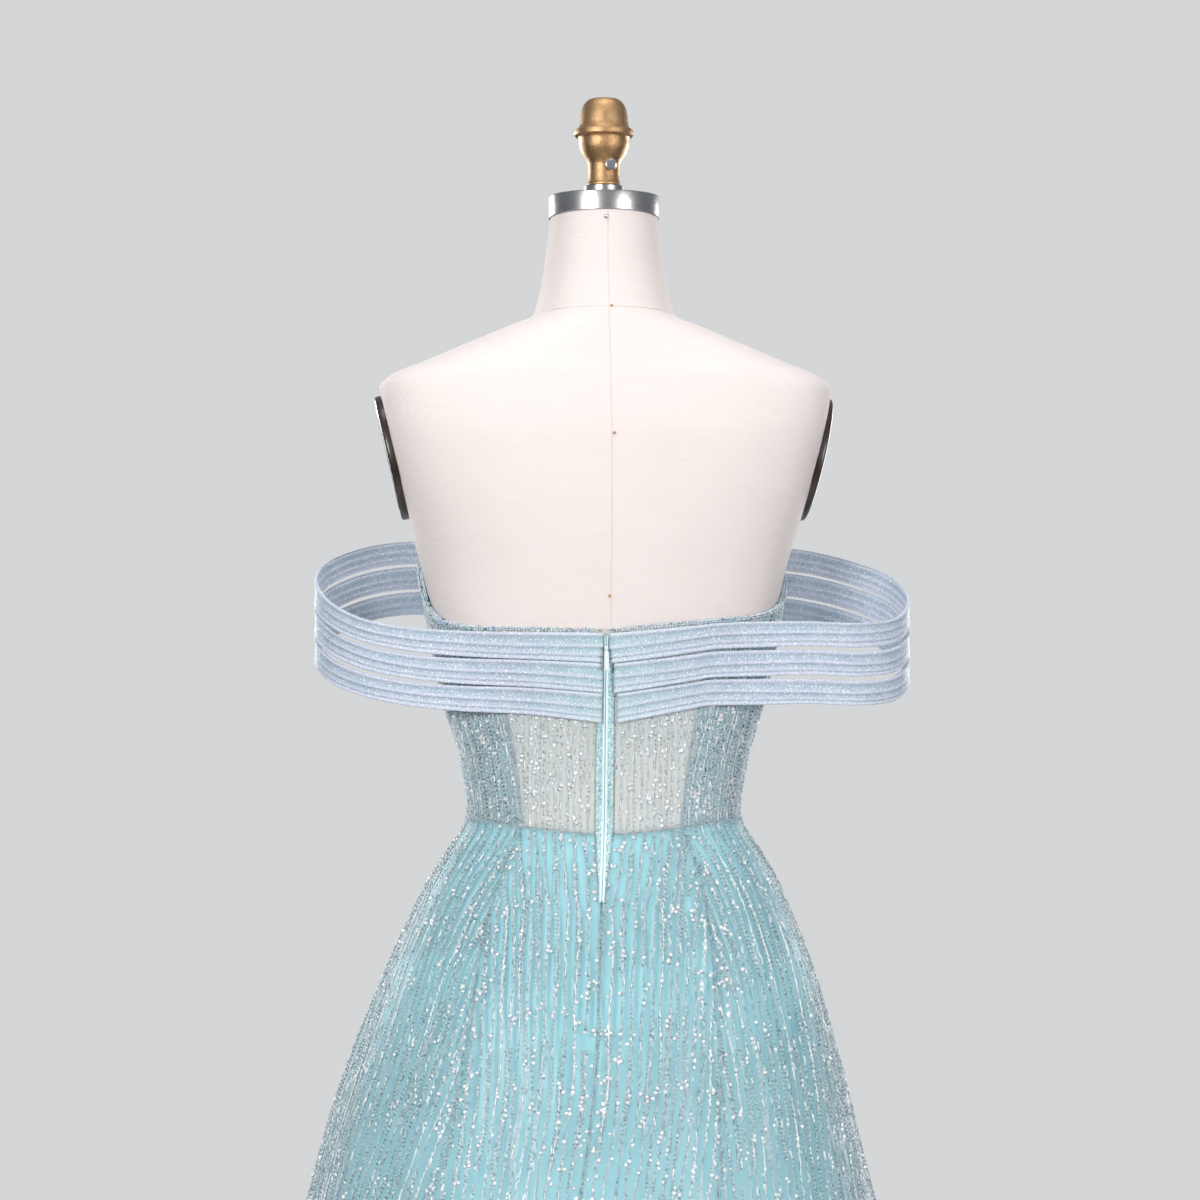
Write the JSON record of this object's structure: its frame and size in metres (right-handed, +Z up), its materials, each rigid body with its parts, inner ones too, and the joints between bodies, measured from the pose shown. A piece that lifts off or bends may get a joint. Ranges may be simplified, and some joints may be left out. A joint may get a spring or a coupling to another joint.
{
  "type": "evening gown on dress form",
  "caption": "Floor-length A-line evening gown with beaded net over satin and three off-the-shoulder bands, worn by a limbless dress form on a round-based stand.",
  "frame": {"origin": "on the floor under the pole, at the middle of the base", "axes": "+Z up; the gown faces -Y, its zipped back is on +Y, and the wearer's left is +X"},
  "size_m": [0.8338, 0.8195, 1.6659],
  "materials": {
    "beaded_net": "sheer aqua net with rows of small beads and sequins",
    "satin_lining": "aqua satin with a soft sheen",
    "glitter_tulle": "folded tulle with fine glitter",
    "zip_tape": "woven aqua tape with a nylon coil",
    "zip_metal": "white enamel",
    "form_linen": "plain cream linen",
    "plate_brown": "dark brown varnish",
    "cap_steel": "brushed",
    "finial_gold": "cast and gold painted",
    "stand_metal": "gold paint"
  },
  "bodies": {
    "root": {"bodice_back_left": "beaded_net", "bodice_back_right": "beaded_net", "bodice_side_back_left": "beaded_net", "bodice_side_back_right": "beaded_net", "bodice_side_front_left": "beaded_net", "bodice_side_front_right": "beaded_net", "bodice_front": "beaded_net", "bodice_lining_side_back_left": "satin_lining", "bodice_lining_side_back_right": "satin_lining", "bodice_lining_side_front_left": "satin_lining", "bodice_lining_side_front_right": "satin_lining", "bodice_lining_front": "satin_lining", "skirt_net_back_left": "beaded_net", "skirt_net_back_right": "beaded_net", "skirt_net_side_back_left": "beaded_net", "skirt_net_side_back_right": "beaded_net", "skirt_net_side_front_left": "beaded_net", "skirt_net_side_front_right": "beaded_net", "skirt_net_front": "beaded_net", "skirt_lining_back_left": "satin_lining", "skirt_lining_back_right": "satin_lining", "skirt_lining_front": "satin_lining", "band_top": "glitter_tulle", "band_middle": "glitter_tulle", "band_low": "glitter_tulle", "zip_tape": "zip_tape", "zip_slider": "zip_metal", "form_torso": "form_linen", "form_arm_plate_left": "plate_brown", "form_arm_plate_right": "plate_brown", "form_neck_cap": "cap_steel", "form_cap_washer": "cap_steel", "form_finial": "finial_gold", "form_set_screw": "cap_steel", "stand_pole": "stand_metal", "stand_base": "stand_metal"},
    "zip_pull": {"zip_pull": "zip_metal"}
  },
  "joints": [
    {"name": "zip_pull_swing", "type": "hinge", "parent": "root", "child": "zip_pull", "pos_m": [0.00436, 0.09469, 1.1945], "axis": [1, 0, 0], "range_deg": [0, 150]}
  ]
}
